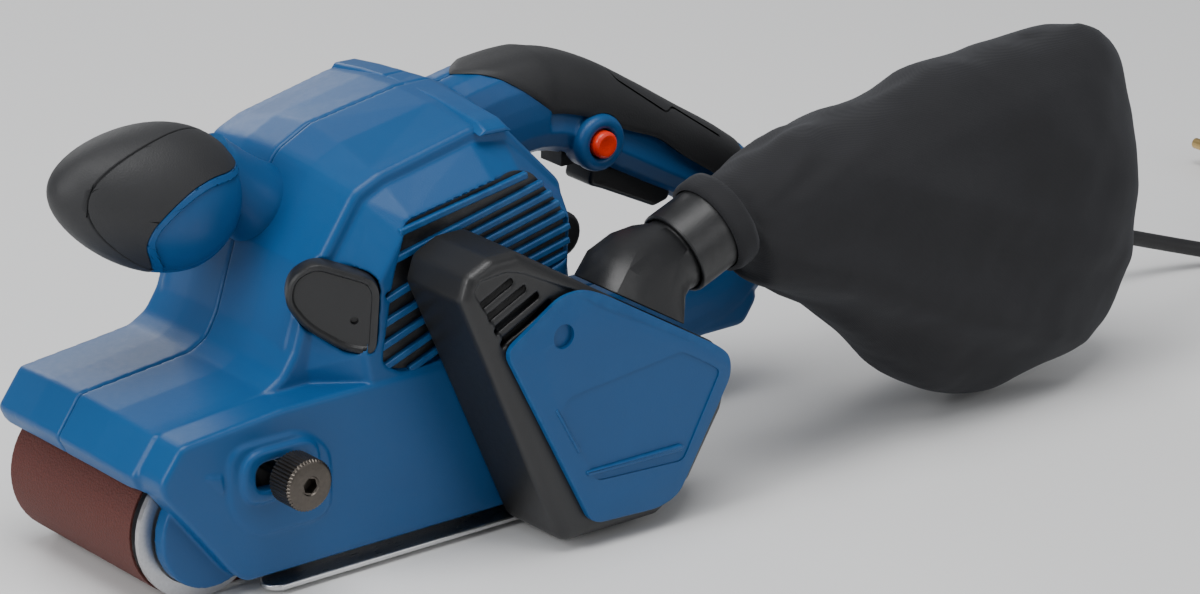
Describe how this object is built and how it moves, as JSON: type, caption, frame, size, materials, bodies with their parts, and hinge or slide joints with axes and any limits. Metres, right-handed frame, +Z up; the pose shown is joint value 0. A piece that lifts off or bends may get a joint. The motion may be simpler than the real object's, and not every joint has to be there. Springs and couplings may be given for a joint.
{
  "type": "handheld belt sander",
  "caption": "Handheld belt sander with a front knob, a rear D-handle with trigger, side belt drive, tracking knob, dust outlet with a cloth bag, and a mains cord with plug.",
  "frame": {"origin": "middle of the sanding belt's flat lower face, on the work surface", "axes": "+X towards the front roller, +Y towards the side with the drive cover and dust outlet, +Z up from the work surface"},
  "size_m": [0.6516, 0.1732, 0.16],
  "materials": {
    "casing": "satin moulded blue",
    "black_parts": "moulded black with a light texture",
    "soft_black": "soft matt black",
    "bag_cloth": "woven charcoal cloth",
    "abrasive": "red-brown abrasive grit on cloth",
    "light_metal": "cast and turned",
    "steel": "turned and drawn",
    "cork": "pressed cork and graphite cloth",
    "brass": "plain",
    "red_button": "glossy red"
  },
  "bodies": {
    "root": {"housing_left": "casing", "housing_right": "casing", "front_knob_base": "casing", "front_knob_grip": "soft_black", "front_knob_bolt": "steel", "drive_cover": "black_parts", "badge_plate": "casing", "cover_screw_1": "steel", "cover_screw_2": "steel", "dust_outlet": "black_parts", "brush_cover": "black_parts", "brush_cap_rear": "black_parts", "base_strip": "light_metal", "sanding_frame": "light_metal", "roller_cheek": "light_metal", "sanding_belt": "abrasive", "platen_sheet": "steel", "platen_pad": "cork", "drive_bearing_left": "steel", "drive_bearing_right": "steel", "lever_pin": "steel", "motor_stator": "steel", "motor_bearing_left": "steel", "motor_bearing_right": "steel", "toothed_belt": "soft_black", "carbon_brush_front": "black_parts", "carbon_brush_rear": "black_parts", "brush_holder_front": "brass", "brush_holder_rear": "brass", "handle_grip": "soft_black", "switch_module": "black_parts", "cord_guard": "soft_black", "power_cord": "soft_black", "cord_coil": "soft_black", "plug_body": "soft_black", "plug_pin_1": "brass", "plug_pin_2": "brass"},
    "drive": {"drive_roller": "soft_black", "drive_hub": "light_metal", "drive_shaft": "steel", "driven_pulley": "black_parts"},
    "motor": {"motor_armature": "steel", "commutator": "brass", "cooling_fan": "black_parts", "drive_pinion": "steel"},
    "front_roller": {"front_roller": "light_metal", "front_bearing_left": "steel", "front_bearing_right": "steel"},
    "tension_lever": {"tension_lever": "steel"},
    "yoke_stem": {"yoke_stem": "steel", "tension_spring": "steel"},
    "yoke": {"roller_yoke": "light_metal", "front_axle": "steel"},
    "tracking_knob": {"tracking_knob": "steel", "tracking_screw": "steel"},
    "trigger": {"trigger": "black_parts"},
    "lock_button": {"lock_button": "red_button"},
    "dust_bag": {"bag_collar": "black_parts", "dust_bag": "bag_cloth"}
  },
  "joints": [
    {"name": "drive_spin", "type": "hinge", "parent": "root", "child": "drive", "pos_m": [-0.07262, 0, 0.027], "axis": [0, 1, 0], "continuous": true},
    {"name": "motor_spin", "type": "hinge", "parent": "root", "child": "motor", "pos_m": [-0.036, 0, 0.097], "axis": [0, 1, 0], "continuous": true},
    {"name": "front_roller_spin", "type": "hinge", "parent": "yoke", "child": "front_roller", "pos_m": [0.07262, 0, 0.027], "axis": [0, 1, 0], "continuous": true},
    {"name": "lever_swing", "type": "hinge", "parent": "root", "child": "tension_lever", "pos_m": [-0.012, -0.0414, 0.027], "axis": [0, 0, -1], "range_deg": [-1, 81]},
    {"name": "belt_tension", "type": "slide", "parent": "root", "child": "yoke_stem", "axis": [1, 0, 0], "range_m": [-0.006, 0]},
    {"name": "yoke_steer", "type": "hinge", "parent": "yoke_stem", "child": "yoke", "pos_m": [0.036, 0, 0.027], "axis": [0, 0, 1], "range_deg": [-0.72, 0.72]},
    {"name": "tracking_turn", "type": "hinge", "parent": "yoke", "child": "tracking_knob", "pos_m": [0.05, 0.06, 0.047], "axis": [0, 1, 0], "range_deg": [-180, 180]},
    {"name": "trigger_squeeze", "type": "hinge", "parent": "root", "child": "trigger", "pos_m": [-0.128, 0, 0.103], "axis": [0, 1, 0], "range_deg": [0, 6], "stiffness_Nm_per_rad": 2, "springref_deg": -3.44},
    {"name": "lock_press", "type": "slide", "parent": "root", "child": "lock_button", "axis": [0, -1, 0], "range_m": [0, 0.003], "stiffness_N_per_m": 300, "springref_m": -0.001},
    {"name": "bag_pull", "type": "slide", "parent": "root", "child": "dust_bag", "axis": [-0.9291, 0, 0.3697], "range_m": [0, 0.03]}
  ],
  "couplings": [
    {"joint": "motor_spin", "follows": "drive_spin", "ratio": 3.44},
    {"joint": "front_roller_spin", "follows": "drive_spin", "ratio": 1.0118},
    {"joint": "lever_swing", "follows": "belt_tension", "rad_per_m": -232.6},
    {"joint": "yoke_steer", "follows": "tracking_turn", "ratio": 0.0039}
  ]
}
